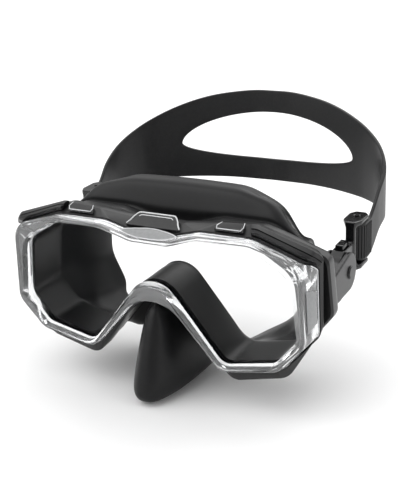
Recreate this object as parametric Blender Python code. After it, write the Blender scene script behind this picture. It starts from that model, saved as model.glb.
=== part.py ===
"""Diving mask with one wide window, a clear front bezel, a silicone skirt and a split strap.

Metres, +Z up, the wearer looks along -Y and the wearer's left is +X. The origin is the point
between the eyes on the plane where the skirt seals against the face.
"""

import math

import bmesh
import bpy
import numpy as np
from mathutils import Matrix, Vector

MM = 0.001

# Window, measured from the nose bridge's level (z = 0).
WINDOW_HALF_WIDTH = 70.5 * MM
WINDOW_TOP = 22.6 * MM
WINDOW_DIP = 17.6 * MM
WINDOW_BOTTOM = 35.2 * MM
CHEEK_HEIGHT = 17.5 * MM
ARCH_APEX = 8.3 * MM
ARCH_RADIUS = 13.8 * MM

# Lens and the pocket that holds it.
LENS_STANDOFF = 50 * MM
LENS_THICKNESS = 3.5 * MM
LENS_OVERLAP = 1.9 * MM
SLEEVE_OFFSET = 1.85 * MM
POCKET_OFFSET = 2.3 * MM
GAP = 0.3 * MM
FRONT_GAP = 0.5 * MM

# Depths of the front pieces, counted back from the lens's front face.
BEZEL_FRONT = 4.6 * MM
BEZEL_TOP_DEPTH = 1.0 * MM
BEZEL_SIDE_DEPTH = 8.5 * MM
MAIN_FRAME_REAR = 15.3 * MM
REAR_FRAME_REAR = 24.0 * MM

# Brow tab, corner covers and latches.
TAB_HALF_BASE = 14 * MM
TAB_RISE = 4.6 * MM
TAB_LEAN = 6.0 * MM
TAB_SEAT = 1.0 * MM
TAB_PROUD = 0.9 * MM
COVER_THICKNESS = 1.5 * MM
LATCH_FROM_SIDE = 32.5 * MM
LATCH_HALF_WIDTH = 7.4 * MM
LATCH_THICKNESS = 1.0 * MM
PLATE_GAP = 0.45 * MM

# Skirt.
SKIRT_WALL = 2.0 * MM
SLEEVE_WALL = 1.5 * MM
NOSE_WALL = 1.8 * MM

# Buckle arms and swivel.
ARM_INSET = 1.3 * MM
PIN_BEHIND_FRAME = 22 * MM
PIN_HEIGHT = -2.0 * MM
PIN_RADIUS = 1.6 * MM
PIN_CLEARANCE = 0.15 * MM
ARM_RADIUS = 9.3 * MM
ARM_LOW = 9.6 * MM
ARM_HIGH = 5.0 * MM
OUTER_PLATE = 2.6 * MM
INNER_PLATE = 1.8 * MM
TONGUE_THICKNESS = 6.4 * MM
TONGUE_RADIUS = 8.4 * MM
TONGUE_TOP = 9.8 * MM

# Strap loop of the buckle, along the buckle from its pin.
STRAP_END_WIDTH = 18.5 * MM
STRAP_THICKNESS = 1.8 * MM
STRAP_CLEARANCE = 0.55 * MM
STRAP_RIB = 0.5 * MM
LOOP_WALL = 2.2 * MM
LOOP_RISE = 8.0 * MM
LOOP_SHIFT = 1.6 * MM
WEB_START = 11.5 * MM
WEB_THICKNESS = 2.8 * MM
ROLLER_AT = 21.6 * MM
ROLLER_RADIUS = 2.4 * MM
ROLLER_PIN_RADIUS = 1.1 * MM
REAR_BAR_AT = 26.6 * MM
REAR_BAR_DEPTH = 3.0 * MM
REAR_BAR_THICKNESS = 2.0 * MM

# Release button on the buckle's tongue.
BUTTON_AT = 5.6 * MM
BUTTON_LENGTH = 8.0 * MM
BUTTON_WIDTH = 4.0 * MM
BUTTON_HEIGHT = 4.6 * MM
BUTTON_PROUD = 2.0 * MM
SPRING_RADIUS = 1.3 * MM
SPRING_WIRE = 0.3 * MM
SPRING_LENGTH = 3.4 * MM
SPRING_TURNS = 4

# Strap loop round the head.
STRAP_REACH = 139 * MM
STRAP_HALF_WIDTH = 79 * MM
STRAP_REAR_TOP = 58.8 * MM
STRAP_REAR_LOW = 7.6 * MM
SPLIT_HALF_LENGTH = 51 * MM
SPLIT_LEVEL = 28.5 * MM
SPLIT_ABOVE = 18.2 * MM
SPLIT_BELOW = 8.6 * MM
TAIL_LENGTH = 11 * MM

LENS_Y = -LENS_STANDOFF


def add_material(name, colour, roughness, alpha=1.0):
    """A Principled material with a plain colour and roughness."""
    material = bpy.data.materials.new(name)
    material.use_nodes = True
    shader = material.node_tree.nodes["Principled BSDF"]
    shader.inputs["Base Color"].default_value = (*colour, 1.0)
    shader.inputs["Roughness"].default_value = roughness
    shader.inputs["Alpha"].default_value = alpha
    return material


def add_object(name, mesh, material, smooth=True):
    """Links a mesh to the scene as a named object, shaded smooth up to 35 degrees."""
    mesh.materials.clear()
    mesh.materials.append(material)
    if smooth:
        mesh.shade_smooth()
        mesh.set_sharp_from_angle(angle=math.radians(35))
    made = bpy.data.objects.new(name, mesh)
    bpy.context.collection.objects.link(made)
    return made


def mesh_from(name, points, faces):
    """A closed mesh from points and faces, with its faces turned outwards."""
    mesh = bpy.data.meshes.new(name)
    mesh.from_pydata([tuple(map(float, p)) for p in points], [], faces)
    work = bmesh.new()
    work.from_mesh(mesh)
    bmesh.ops.remove_doubles(work, verts=work.verts, dist=1e-7)
    bmesh.ops.recalc_face_normals(work, faces=work.faces)
    work.to_mesh(mesh)
    work.free()
    return mesh


def ring_mesh(name, sections):
    """A closed ring: each section is a loop of points, and the last joins the first."""
    count = len(sections[0])
    faces = []
    for i in range(len(sections)):
        after = (i + 1) % len(sections)
        for j in range(count):
            k = (j + 1) % count
            faces.append((i * count + j, i * count + k, after * count + k, after * count + j))
    return mesh_from(name, np.concatenate(sections), faces)


def capped_mesh(name, sections, fan_end=False):
    """A closed solid through loops of points, with a flat first cap and a flat or fanned last cap."""
    count = len(sections[0])
    points = np.concatenate(sections)
    faces = [tuple(range(count))]
    for i in range(len(sections) - 1):
        for j in range(count):
            k = (j + 1) % count
            faces.append((i * count + j, i * count + k, (i + 1) * count + k, (i + 1) * count + j))
    last = (len(sections) - 1) * count
    if fan_end:
        points = np.vstack([points, sections[-1].mean(axis=0)])
        faces += [(last + j, last + (j + 1) % count, len(points) - 1) for j in range(count)]
    else:
        faces.append(tuple(range(last, last + count)))
    return mesh_from(name, points, faces)


def box_mesh(name, low, high, bevel=0.0):
    """A box between two corners, with its edges bevelled."""
    work = bmesh.new()
    size = Vector(high) - Vector(low)
    middle = (Vector(high) + Vector(low)) / 2
    bmesh.ops.create_cube(work, size=1.0, matrix=Matrix.LocRotScale(middle, None, size))
    if bevel:
        bmesh.ops.bevel(work, geom=work.edges[:], offset=bevel, segments=2, affect="EDGES", profile=0.5)
    mesh = bpy.data.meshes.new(name)
    work.to_mesh(mesh)
    work.free()
    return mesh


def rod_mesh(name, radius, start, end, sides=24, bevel=0.0):
    """A round rod between two points."""
    start = Vector(start)
    end = Vector(end)
    along = end - start
    work = bmesh.new()
    turn = along.to_track_quat("Z", "Y").to_matrix().to_4x4()
    bmesh.ops.create_cone(
        work,
        cap_ends=True,
        segments=sides,
        radius1=radius,
        radius2=radius,
        depth=along.length,
        matrix=Matrix.Translation((start + end) / 2) @ turn,
    )
    if bevel:
        rims = [e for e in work.edges if any(len(f.verts) == sides for f in e.link_faces)]
        bmesh.ops.bevel(work, geom=rims, offset=bevel, segments=1, affect="EDGES")
    mesh = bpy.data.meshes.new(name)
    work.to_mesh(mesh)
    work.free()
    return mesh


def combined(name, base, others, operation):
    """The mesh of base with each of the others joined to it or cut from it."""
    holder = bpy.data.objects.new(name, base)
    bpy.context.collection.objects.link(holder)
    helpers = [holder]
    for other in others:
        tool = bpy.data.objects.new("tool", other)
        tool.hide_render = True
        tool.display_type = "WIRE"
        bpy.context.collection.objects.link(tool)
        helpers.append(tool)
        step = holder.modifiers.new("step", "BOOLEAN")
        step.operation = operation
        step.solver = "EXACT"
        step.object = tool
    bpy.context.view_layer.update()
    graph = bpy.context.evaluated_depsgraph_get()
    result = bpy.data.meshes.new_from_object(holder.evaluated_get(graph))
    result.name = name
    for helper in helpers:
        bpy.data.objects.remove(helper, do_unlink=True)
    work = bmesh.new()
    work.from_mesh(result)
    bmesh.ops.remove_doubles(work, verts=work.verts, dist=4e-6)
    bmesh.ops.dissolve_degenerate(work, edges=work.edges, dist=4e-6)
    work.to_mesh(result)
    work.free()
    return result


def mirrored(mesh):
    """A copy of a mesh turned over the plane x = 0, still facing out."""
    copy = mesh.copy()
    copy.transform(Matrix.Diagonal((-1, 1, 1, 1)))
    copy.flip_normals()
    return copy


def add_pair(name, mesh, material, location=(0, 0, 0)):
    """The left piece as built at +x and the right piece as its mirror image."""
    pair = []
    for side, shape, sign in (("left", mesh, 1), ("right", mirrored(mesh), -1)):
        made = add_object(f"{side}_{name}", shape, material)
        made.location = (sign * location[0], location[1], location[2])
        pair.append(made)
    return pair


def window_corners():
    """The window's right-hand corners from the top centre round to the arch: x, z, fillet, steps."""
    wide = WINDOW_HALF_WIDTH
    return [
        (8.0 * MM, WINDOW_DIP, 14 * MM, 2),
        (24.0 * MM, WINDOW_TOP, 16 * MM, 3),
        (wide - 20.5 * MM, WINDOW_TOP, 12 * MM, 4),
        (wide - 3.0 * MM, WINDOW_TOP - 11.0 * MM, 10 * MM, 5),
        (wide, -CHEEK_HEIGHT, 7 * MM, 3),
        (wide - 10.5 * MM, 5.4 * MM - WINDOW_BOTTOM, 7 * MM, 3),
        (34.5 * MM, -WINDOW_BOTTOM, 6 * MM, 5),
        (0.0, ARCH_APEX, ARCH_RADIUS, 12),
    ]


# How far each corner moves from the window's, as x, z and change of fillet.
BEZEL_FRONT_EDGE = [(0, 3.7, 0), (0, 3.2, 0), (0, 4.0, 2), (6.3, 8.2, 1), (4.8, -1.1, 1),
                    (2.2, -3.0, 1), (-0.6, -3.0, 1), (0, -7.3, 5.4)]
BEZEL_REAR_EDGE = [(0, 4.2, 0), (0, 3.6, 0), (0, 3.6, 0), (8.8, 5.2, -5), (6.4, 0.0, 0),
                   (2.7, -3.8, 1), (-0.4, -3.9, 1), (0, -8.0, 5.4)]
MAIN_FRAME_EDGE = [(5, 9.4, 0), (6, 6.4, 0), (-2.5, 7.6, -4), (10.6, 9.0, -5), (7.7, 3.3, -1),
                   (4.2, -8.8, 2), (1.6, -10.4, 1), (0, -6.3, 6.2)]
MAIN_FRAME_WAIST = [(5, 6.6, 0), (6, 4.2, 0), (-3.5, 5.4, -4), (8.4, 7.0, -5), (5.6, 3.0, -1),
                    (2.6, -6.4, 2), (1.2, -8.2, 1), (0, -6.2, 6.0)]
REAR_FRAME_EDGE = [(1, 4.4, 0), (2, 4.2, 0), (-2, 3.9, -3), (11.0, 4.2, -5), (10.3, 6.5, -2),
                   (1.6, -6.0, 2), (0.8, -6.6, 1), (0, -6.6, 4.2)]
SKIRT_FLARE = [(1, 9.5, 0), (4, 6.0, 0), (-1, 5.5, 0), (0.5, 3.0, 0), (0.8, 1.0, 0),
               (-1.0, -3.4, 0), (-1.0, -4.2, 0), (0, -6.0, 0)]
SKIRT_MIDDLE = [(0, 18.2, 0), (6, 13.2, 0), (-2, 9.8, 0), (-5.0, 1.5, 0), (-5.5, 3.5, 0),
                (-5.5, -3.0, 0), (-4.5, -8.2, 0), (0, -27.0, -4)]
SKIRT_REAR = [(0, 19.8, 0), (6, 14.2, 0), (-2, 6.4, 0), (-9.5, 0.4, 0), (-11.0, 4.5, 0),
              (-10, -2.5, 0), (-9.0, -12.0, 0), (0, -61.5, 0)]

# The nose pocket at a few levels: height, half-width, front and back depth from the lens.
NOSE_LEVELS = [(-11.8, 3.0, 0.5, 34), (-13.3, 6.2, -2.0, 38), (-16.4, 8.8, -4.2, 40), (-22.0, 10.6, -6.8, 41),
               (-32.0, 12.6, -10.6, 41), (-41.0, 13.9, -13.8, 41), (-47.0, 14.4, -15.8, 40.5),
               (-51.5, 13.8, -16.6, 38), (-54.6, 11.4, -15.2, 33), (-56.2, 7.0, -11.0, 25)]


def moved_corners(moves):
    """The window's corners with each one moved and its fillet changed."""
    return [
        (x + dx * MM, z + dz * MM, fillet + more * MM, steps)
        for (x, z, fillet, steps), (dx, dz, more) in zip(window_corners(), moves)
    ]


def full_corners(half):
    """All corners clockwise from the top centre: the right half, the arch and the mirrored half."""
    left = [(-x, z, fillet, steps) for x, z, fillet, steps in reversed(half[:-1])]
    return half + left


def outline(half, offset=0.0):
    """The closed outline of filleted corners, moved outwards by an offset, as x and z points."""
    corners = full_corners(half)
    place = np.array([c[:2] for c in corners])
    edge = np.roll(place, -1, axis=0) - place
    edge /= np.linalg.norm(edge, axis=1)[:, None]
    outward = np.stack([-edge[:, 1], edge[:, 0]], axis=1)
    points = []
    for i, (x, z, fillet, steps) in enumerate(corners):
        before, after = edge[i - 1], edge[i]
        turn = math.atan2(before[0] * after[1] - before[1] * after[0], float(before @ after))
        mitre = (outward[i - 1] + outward[i]) / (1 + float(outward[i - 1] @ outward[i]))
        corner = np.array([x, z]) + offset * mitre
        radius = max(fillet - math.copysign(offset, turn), 0.3 * MM)
        tangent = radius * abs(math.tan(turn / 2))
        first = corner - before * tangent
        centre = first + math.copysign(radius, turn) * np.array([-before[1], before[0]])
        for step in range(steps + 1):
            a = turn * step / steps
            arm = first - centre
            points.append(
                centre
                + np.array([
                    arm[0] * math.cos(a) - arm[1] * math.sin(a),
                    arm[0] * math.sin(a) + arm[1] * math.cos(a),
                ])
            )
    return np.array(points)


def along_corners(half, values):
    """A value at each outline point, from a start and an end value for each right-hand corner."""
    mirrored_values = [(b, a) for a, b in reversed(values[:-1])]
    spread = []
    for (_, _, _, steps), (a, b) in zip(full_corners(half), values + mirrored_values):
        spread.extend(np.linspace(a, b, steps + 1))
    return np.array(spread)


def section(flat, depth):
    """An outline placed at a depth behind the lens's front face."""
    depth = np.broadcast_to(depth, (len(flat),))
    return np.stack([flat[:, 0], LENS_Y + depth, flat[:, 1]], axis=1)


def bezel_rear_depth():
    """The bezel's rear edge: shallow at the brow and below, deep along both sides."""
    top = BEZEL_TOP_DEPTH
    side = BEZEL_SIDE_DEPTH
    values = [(top, top), (top, top), (top, top), (top, side), (side, side), (top, top), (top, top), (top, top)]
    return along_corners(window_corners(), values)


def build_bezel(material):
    """Clear front bezel: a lip over the lens, a flat front land and a flared outer wall."""
    window = window_corners()
    front_edge = moved_corners(BEZEL_FRONT_EDGE)
    rear_edge = moved_corners(BEZEL_REAR_EDGE)
    rear = bezel_rear_depth()
    mesh = ring_mesh("front_bezel", [
        section(outline(window), -GAP),
        section(outline(window, 0.3 * MM), -2.4 * MM),
        section(outline(window, 1.4 * MM), -BEZEL_FRONT),
        section(outline(front_edge, -0.8 * MM), -BEZEL_FRONT),
        section(outline(front_edge), 0.8 * MM - BEZEL_FRONT),
        section(outline(rear_edge), rear),
        section(outline(window, POCKET_OFFSET), rear),
        section(outline(window, POCKET_OFFSET), -GAP),
    ])
    return add_object("front_bezel", mesh, material)


def build_lens(material):
    """Flat tempered lens behind the bezel's lip."""
    edge = outline(window_corners(), LENS_OVERLAP)
    mesh = capped_mesh("glass_lens", [section(edge, 0.0), section(edge, LENS_THICKNESS)])
    return add_object("glass_lens", mesh, material, smooth=False)


def rail_depth():
    """How far the main frame's front slopes back: a broad brow rail above, a narrow edge elsewhere."""
    rail = 5.4 * MM
    side = 1.4 * MM
    low = 2.6 * MM
    values = [(rail, rail), (rail, rail), (rail, rail), (rail, side), (side, side), (low, low), (low, low), (low, low)]
    return along_corners(window_corners(), values)


def front_gap():
    """The gap between the bezel and the main frame, wider where the seam runs down the sides."""
    seam = 1.4 * MM
    thin = FRONT_GAP
    values = [(thin, thin), (thin, thin), (thin, seam), (seam, thin), (thin, seam), (seam, thin), (thin, thin),
              (thin, thin)]
    return along_corners(window_corners(), values)


def rail_slope():
    """The lower and upper edges of the main frame's sloping front."""
    front = bezel_rear_depth() + front_gap()
    low = section(outline(moved_corners(BEZEL_REAR_EDGE), 0.7 * MM), front)
    high = section(outline(moved_corners(MAIN_FRAME_EDGE)), front + rail_depth())
    return low, high


def tab_prism(name, inset, low, high):
    """The leaning trapezoid of the brow tab, from one height to another across its slope."""
    foot = Vector((0, LENS_Y + 2.4 * MM, 24.4 * MM))
    lean = Vector((0, TAB_LEAN, TAB_RISE)).normalized()
    lift = Vector((0, -lean.z, lean.y))
    span = math.hypot(TAB_LEAN, TAB_RISE)
    rows = [
        (inset, TAB_HALF_BASE - inset),
        (0.62 * span, 0.84 * TAB_HALF_BASE - inset),
        (span - inset, 0.66 * TAB_HALF_BASE - inset),
    ]
    sections = []
    for height in (low, high):
        right = [foot + lean * up + lift * height + Vector((half, 0, 0)) for up, half in rows]
        left = [Vector((-p.x, p.y, p.z)) for p in reversed(right)]
        sections.append(np.array(right + left))
    return capped_mesh(name, sections)


def build_main_frame(material):
    """Main frame behind the bezel, with brow rails along its top and a seat for the brow tab."""
    window = window_corners()
    edge = moved_corners(MAIN_FRAME_EDGE)
    front = bezel_rear_depth() + front_gap()
    low, high = rail_slope()
    ring = ring_mesh("ring", [
        section(outline(window, POCKET_OFFSET), front),
        section(outline(moved_corners(BEZEL_REAR_EDGE)), front),
        low,
        high,
        section(outline(edge, -0.4 * MM), MAIN_FRAME_REAR - 3.6 * MM),
        section(outline(moved_corners(MAIN_FRAME_WAIST)), MAIN_FRAME_REAR),
        section(outline(window, POCKET_OFFSET), MAIN_FRAME_REAR),
    ])
    seat = tab_prism("seat", -GAP, -TAB_SEAT - GAP, 8 * MM)
    return add_object("main_frame", combined("main_frame", ring, [seat], "DIFFERENCE"), material)


def build_brow_tab(material):
    """Clear clip at the middle of the brow, sunk in its seat."""
    return add_object("brow_tab", tab_prism("brow_tab", 0.0, -TAB_SEAT, TAB_PROUD), material)


def slope_plate(name, low, high, foot, head, thickness):
    """A plate over the sloping rail, between two shares of the way up it."""
    along = np.gradient(low, axis=0)
    normal = np.cross(along, high - low)
    normal /= np.linalg.norm(normal, axis=1)[:, None]
    normal *= np.sign(-normal[:, 1:2])
    sections = []
    for i in range(len(low)):
        bottom = low[i] + (high[i] - low[i]) * foot
        top = low[i] + (high[i] - low[i]) * head
        lean = 0.12 * (top - bottom)
        sections.append(np.array([
            bottom + normal[i] * PLATE_GAP,
            bottom + normal[i] * (PLATE_GAP + thickness) + lean,
            top + normal[i] * (PLATE_GAP + thickness) - lean,
            top + normal[i] * PLATE_GAP,
        ]))
    return capped_mesh(name, sections)


def build_corner_covers(material):
    """Covers over the two upper outer corners of the main frame."""
    low, high = rail_slope()
    first = 3 + 4 + 1
    last = 3 + 4 + 5 + 5
    mesh = slope_plate("cover", low[first:last], high[first:last], 0.16, 0.92, COVER_THICKNESS)
    return add_pair("corner_cover", mesh, material)


def build_brow_latches(material):
    """Latch plates at the outer ends of the brow rails."""
    low, high = rail_slope()
    ends = [6, 7]
    middle = WINDOW_HALF_WIDTH - LATCH_FROM_SIDE
    shares = [(middle - LATCH_HALF_WIDTH - low[6, 0]) / (low[7, 0] - low[6, 0]),
              (middle + LATCH_HALF_WIDTH - low[6, 0]) / (low[7, 0] - low[6, 0])]
    lows = np.array([low[ends[0]] + (low[ends[1]] - low[ends[0]]) * s for s in shares])
    highs = np.array([high[ends[0]] + (high[ends[1]] - high[ends[0]]) * s for s in shares])
    mesh = slope_plate("latch", lows, highs, 0.2, 0.9, LATCH_THICKNESS)
    return add_pair("brow_latch", mesh, material)


def build_rear_frame(material):
    """Rear frame that clamps the skirt's sleeve and carries the buckle arms."""
    window = window_corners()
    edge = moved_corners(REAR_FRAME_EDGE)
    front = MAIN_FRAME_REAR + GAP
    mesh = ring_mesh("rear_frame", [
        section(outline(window, POCKET_OFFSET), front),
        section(outline(edge, -0.9 * MM), front),
        section(outline(edge), front + 1.1 * MM),
        section(outline(edge), REAR_FRAME_REAR - 3.0 * MM),
        section(outline(edge, -0.3 * MM), REAR_FRAME_REAR - 1.4 * MM),
        section(outline(edge, -1.1 * MM), REAR_FRAME_REAR),
        section(outline(window, POCKET_OFFSET), REAR_FRAME_REAR),
    ])
    return add_object("rear_frame", mesh, material)


def depths(top, side, bottom, arch):
    """A depth at each outline point, from its values at the brow, the temples, the cheeks and the nose."""
    values = [(top, top), (top, top), (top, top), (top, side), (side, side), (side, bottom),
              (bottom, arch), (arch, arch)]
    return along_corners(window_corners(), [(a * MM, b * MM) for a, b in values])


def skirt_body(wall):
    """The skirt's loft from its sleeve to the face: its outside when wall is 0, or its hollow."""
    window = window_corners()
    flare = moved_corners(SKIRT_FLARE)
    middle = moved_corners(SKIRT_MIDDLE)
    rear = moved_corners(SKIRT_REAR)
    if not wall:
        return capped_mesh("skirt_outside", [
            section(outline(window, SLEEVE_OFFSET), LENS_THICKNESS + GAP),
            section(outline(window, SLEEVE_OFFSET), REAR_FRAME_REAR + 0.5 * MM),
            section(outline(flare), depths(26.4, 28.5, 27.5, 27.0)),
            section(outline(middle), depths(31.6, 36.5, 33.5, 33.0)),
            section(outline(rear), depths(38.0, 48.5, 42.0, 41.5)),
            section(outline(rear, -0.9 * MM), depths(42.4, 53.8, 46.5, 46.0)),
        ], fan_end=True)
    inside = SLEEVE_OFFSET - SLEEVE_WALL
    return capped_mesh("skirt_inside", [
        section(outline(window, inside), LENS_THICKNESS - 3 * MM),
        section(outline(window, inside), depths(26.8, 24.0, 24.5, 24.5)),
        section(outline(flare, -wall), depths(28.8, 27.8, 27.8, 27.6)),
        section(outline(middle, -wall), depths(33.0, 36.0, 32.8, 32.6)),
        section(outline(rear, -wall), depths(38.2, 48.0, 41.6, 41.2)),
        section(outline(rear, -wall - 0.6 * MM), depths(49.4, 60.8, 53.5, 53.0)),
    ], fan_end=True)


def nose_body(wall):
    """The nose pocket's loft from under the arch down to its tip: its outside or its hollow."""
    sections = []
    for level, half, front, back in NOSE_LEVELS:
        z = level * MM
        if wall:
            top, low = NOSE_LEVELS[0][0] * MM, NOSE_LEVELS[-1][0] * MM
            z = (top + low) / 2 + (z - (top + low) / 2) * (1 - 2 * wall / (top - low))
        centre = back * MM - wall
        turn = np.linspace(-math.pi / 2, math.pi / 2, 17)
        x = (half * MM - wall) * np.sign(turn) * np.abs(np.sin(turn)) ** 0.82
        y = centre - (centre - front * MM - wall) * np.cos(turn) ** 0.82
        sections.append(np.stack([x, LENS_Y + y, np.full_like(x, z)], axis=1))
    return capped_mesh("nose", sections)


def build_skirt(material):
    """Silicone skirt in one moulding with its nose pocket, hollow through to the lens."""
    shell = combined("shell", skirt_body(0.0), [nose_body(0.0)], "UNION")
    hollow = [skirt_body(SKIRT_WALL), nose_body(NOSE_WALL)]
    return add_object("skirt", combined("skirt", shell, hollow, "DIFFERENCE"), material)


def prism_x(name, profile, low, high):
    """A solid with a y and z profile, between two distances along x."""
    return capped_mesh(name, [np.array([(x, y, z) for y, z in profile]) for x in (low, high)])


def prism_z(name, profile, low, high):
    """A solid with an x and y profile, between two heights."""
    return capped_mesh(name, [np.array([(x, y, z) for x, y in profile]) for z in (low, high)])


def arc(centre, radius, start, end, steps):
    """Points on an arc, with its angles in degrees."""
    turns = np.radians(np.linspace(start, end, steps))
    return [(centre[0] + radius * math.cos(t), centre[1] + radius * math.sin(t)) for t in turns]


def turned_x(name, profile, sides=24):
    """A solid of revolution about x, from distances along it and radii."""
    turns = np.linspace(0, 2 * math.pi, sides, endpoint=False)
    sections = [
        np.stack([np.full(sides, x), r * np.cos(turns), r * np.sin(turns)], axis=1) for x, r in profile
    ]
    return capped_mesh(name, sections)


def pin_place():
    """Where the buckle turns on the left side: the middle of the tongue, on the pin's axis."""
    outer_face = WINDOW_HALF_WIDTH + REAR_FRAME_EDGE[4][0] * MM - ARM_INSET - 1.9 * MM
    middle = outer_face - OUTER_PLATE - GAP - TONGUE_THICKNESS / 2
    return Vector((middle, LENS_Y + REAR_FRAME_REAR + PIN_BEHIND_FRAME, PIN_HEIGHT))


def build_ears(material):
    """Forked arms on the rear frame that carry the buckles."""
    pin = pin_place()
    start = LENS_Y + REAR_FRAME_REAR + GAP
    side = [(start, pin.z + ARM_HIGH), (start, pin.z - ARM_LOW + 3.0 * MM)]
    side += [(start + 7 * MM, pin.z - ARM_LOW)]
    side += arc((pin.y, pin.z), ARM_RADIUS, -80, 96, 15)
    outer = pin.x + TONGUE_THICKNESS / 2 + GAP + OUTER_PLATE
    inner = pin.x - TONGUE_THICKNESS / 2 - GAP - INNER_PLATE
    web = pin.y - TONGUE_RADIUS - 0.5 * MM
    body = prism_x("arm", side, inner, outer)
    clear = prism_z("clear", [
        (inner - 5 * MM, start - 5 * MM),
        (outer - 3.6 * MM, start - 5 * MM),
        (outer - 3.6 * MM, start + 1.5 * MM),
        (inner, web - 1.6 * MM),
        (inner - 5 * MM, web - 1.6 * MM),
    ], pin.z - 30 * MM, pin.z + 30 * MM)
    slot = box_mesh(
        "slot",
        (pin.x - TONGUE_THICKNESS / 2 - GAP, web, pin.z - 30 * MM),
        (pin.x + TONGUE_THICKNESS / 2 + GAP, pin.y + 30 * MM, pin.z + 30 * MM),
    )
    hole = rod_mesh(
        "hole",
        PIN_RADIUS + PIN_CLEARANCE,
        (inner - 5 * MM, pin.y, pin.z),
        (outer + 5 * MM, pin.y, pin.z),
    )
    mesh = combined("ear", body, [clear, slot, hole], "DIFFERENCE")
    return add_pair("ear", mesh, material)


def build_swivel_pins(material):
    """Headed pins through the forks and the buckles."""
    pin = pin_place()
    outer = TONGUE_THICKNESS / 2 + GAP + OUTER_PLATE + 0.2 * MM
    inner = -TONGUE_THICKNESS / 2 - GAP - INNER_PLATE - 0.2 * MM
    head = PIN_RADIUS + 1.1 * MM
    mesh = turned_x("pin", [
        (inner - 0.6 * MM, head - 0.4 * MM),
        (inner, head),
        (inner, PIN_RADIUS),
        (outer, PIN_RADIUS),
        (outer, head + 0.5 * MM),
        (outer + 0.7 * MM, head),
    ])
    return add_pair("swivel_pin", mesh, material, pin)


def loop_box():
    """The strap loop's inner opening: low and high corners measured from the pin."""
    half = ROLLER_RADIUS + STRAP_CLEARANCE + STRAP_THICKNESS + STRAP_RIB + GAP
    tall = STRAP_END_WIDTH / 2 + STRAP_CLEARANCE
    low = Vector((LOOP_SHIFT - half, WEB_START + WEB_THICKNESS, LOOP_RISE - tall))
    high = Vector((LOOP_SHIFT + half, REAR_BAR_AT + REAR_BAR_DEPTH / 2, LOOP_RISE + tall))
    return low, high


def build_buckles(material):
    """Buckle bodies: a tongue on the pin, a web and a loop for the strap."""
    low, high = loop_box()
    half = TONGUE_THICKNESS / 2
    profile = [(WEB_START + 1 * MM, TONGUE_TOP), (1.5 * MM, TONGUE_TOP)]
    profile += arc((0, 0), TONGUE_RADIUS, 105, 290, 17)
    profile += [(WEB_START + 1 * MM, LOOP_RISE - STRAP_END_WIDTH / 2 - 1.5 * MM)]
    tongue = prism_x("tongue", profile, -half, half)
    wide = ROLLER_RADIUS + STRAP_CLEARANCE + STRAP_THICKNESS
    walls = []
    for inner, outer in ((low.z - LOOP_WALL, low.z), (high.z, high.z + LOOP_WALL)):
        middle = WEB_START + 4.2 * MM
        end = high.y
        plan = [(LOOP_SHIFT - wide, middle), (LOOP_SHIFT - wide + 2.4 * MM, WEB_START)]
        plan += [(LOOP_SHIFT + wide - 2.0 * MM, WEB_START), (LOOP_SHIFT + wide, middle)]
        plan += [(LOOP_SHIFT + wide, end - 3 * MM), (LOOP_SHIFT + wide - 2.2 * MM, end)]
        plan += [(LOOP_SHIFT - wide + 2.2 * MM, end), (LOOP_SHIFT - wide, end - 3 * MM)]
        walls.append(prism_z("wall", plan, inner, outer))
    web = box_mesh(
        "web",
        (LOOP_SHIFT - wide + 2.6 * MM, WEB_START, low.z - 1 * MM),
        (LOOP_SHIFT + wide - 2.2 * MM, low.y, high.z + 1 * MM),
    )
    bar = box_mesh(
        "bar",
        (LOOP_SHIFT - REAR_BAR_THICKNESS / 2, high.y - REAR_BAR_DEPTH, low.z - 1 * MM),
        (LOOP_SHIFT + REAR_BAR_THICKNESS / 2, high.y - 0.1 * MM, high.z + 1 * MM),
    )
    solid = combined("solid", tongue, [web, bar, *walls], "UNION")
    pocket = box_mesh(
        "pocket",
        (-BUTTON_WIDTH / 2 - GAP, BUTTON_AT - BUTTON_LENGTH / 2 - GAP, button_floor() - SPRING_LENGTH - GAP),
        (BUTTON_WIDTH / 2 + GAP, BUTTON_AT + BUTTON_LENGTH / 2 + GAP, TONGUE_TOP + 5 * MM),
    )
    hole = rod_mesh("hole", PIN_RADIUS + PIN_CLEARANCE, (-20 * MM, 0, 0), (20 * MM, 0, 0))
    bore = rod_mesh(
        "bore",
        ROLLER_PIN_RADIUS + PIN_CLEARANCE,
        (LOOP_SHIFT, ROLLER_AT, low.z - 9 * MM),
        (LOOP_SHIFT, ROLLER_AT, high.z + 9 * MM),
        sides=16,
    )
    mesh = combined("buckle", solid, [pocket, hole, bore], "DIFFERENCE")
    return add_pair("buckle_body", mesh, material, pin_place())


def build_rollers(material):
    """Rollers that the strap runs round."""
    low, high = loop_box()
    tube = rod_mesh(
        "roller",
        ROLLER_RADIUS,
        (0, 0, low.z - LOOP_RISE + GAP),
        (0, 0, high.z - LOOP_RISE - GAP),
        sides=20,
    )
    bore = rod_mesh(
        "bore",
        ROLLER_PIN_RADIUS + PIN_CLEARANCE,
        (0, 0, low.z - LOOP_RISE - 5 * MM),
        (0, 0, high.z - LOOP_RISE + 5 * MM),
        sides=16,
    )
    mesh = combined("roller", tube, [bore], "DIFFERENCE")
    return add_pair("roller", mesh, material, roller_place())


def roller_place():
    """The middle of the left roller."""
    return pin_place() + Vector((LOOP_SHIFT, ROLLER_AT, LOOP_RISE))


def build_roller_pins(material):
    """Plain pins through the loops' walls that carry the rollers."""
    low, high = loop_box()
    mesh = rod_mesh(
        "roller_pin",
        ROLLER_PIN_RADIUS,
        (0, 0, low.z - LOOP_RISE - LOOP_WALL + 0.4 * MM),
        (0, 0, high.z - LOOP_RISE + LOOP_WALL + 0.3 * MM),
        sides=16,
    )
    return add_pair("roller_pin", mesh, material, roller_place())


def button_floor():
    """The underside of the button, measured from the pin."""
    return TONGUE_TOP + BUTTON_PROUD - BUTTON_HEIGHT


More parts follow.
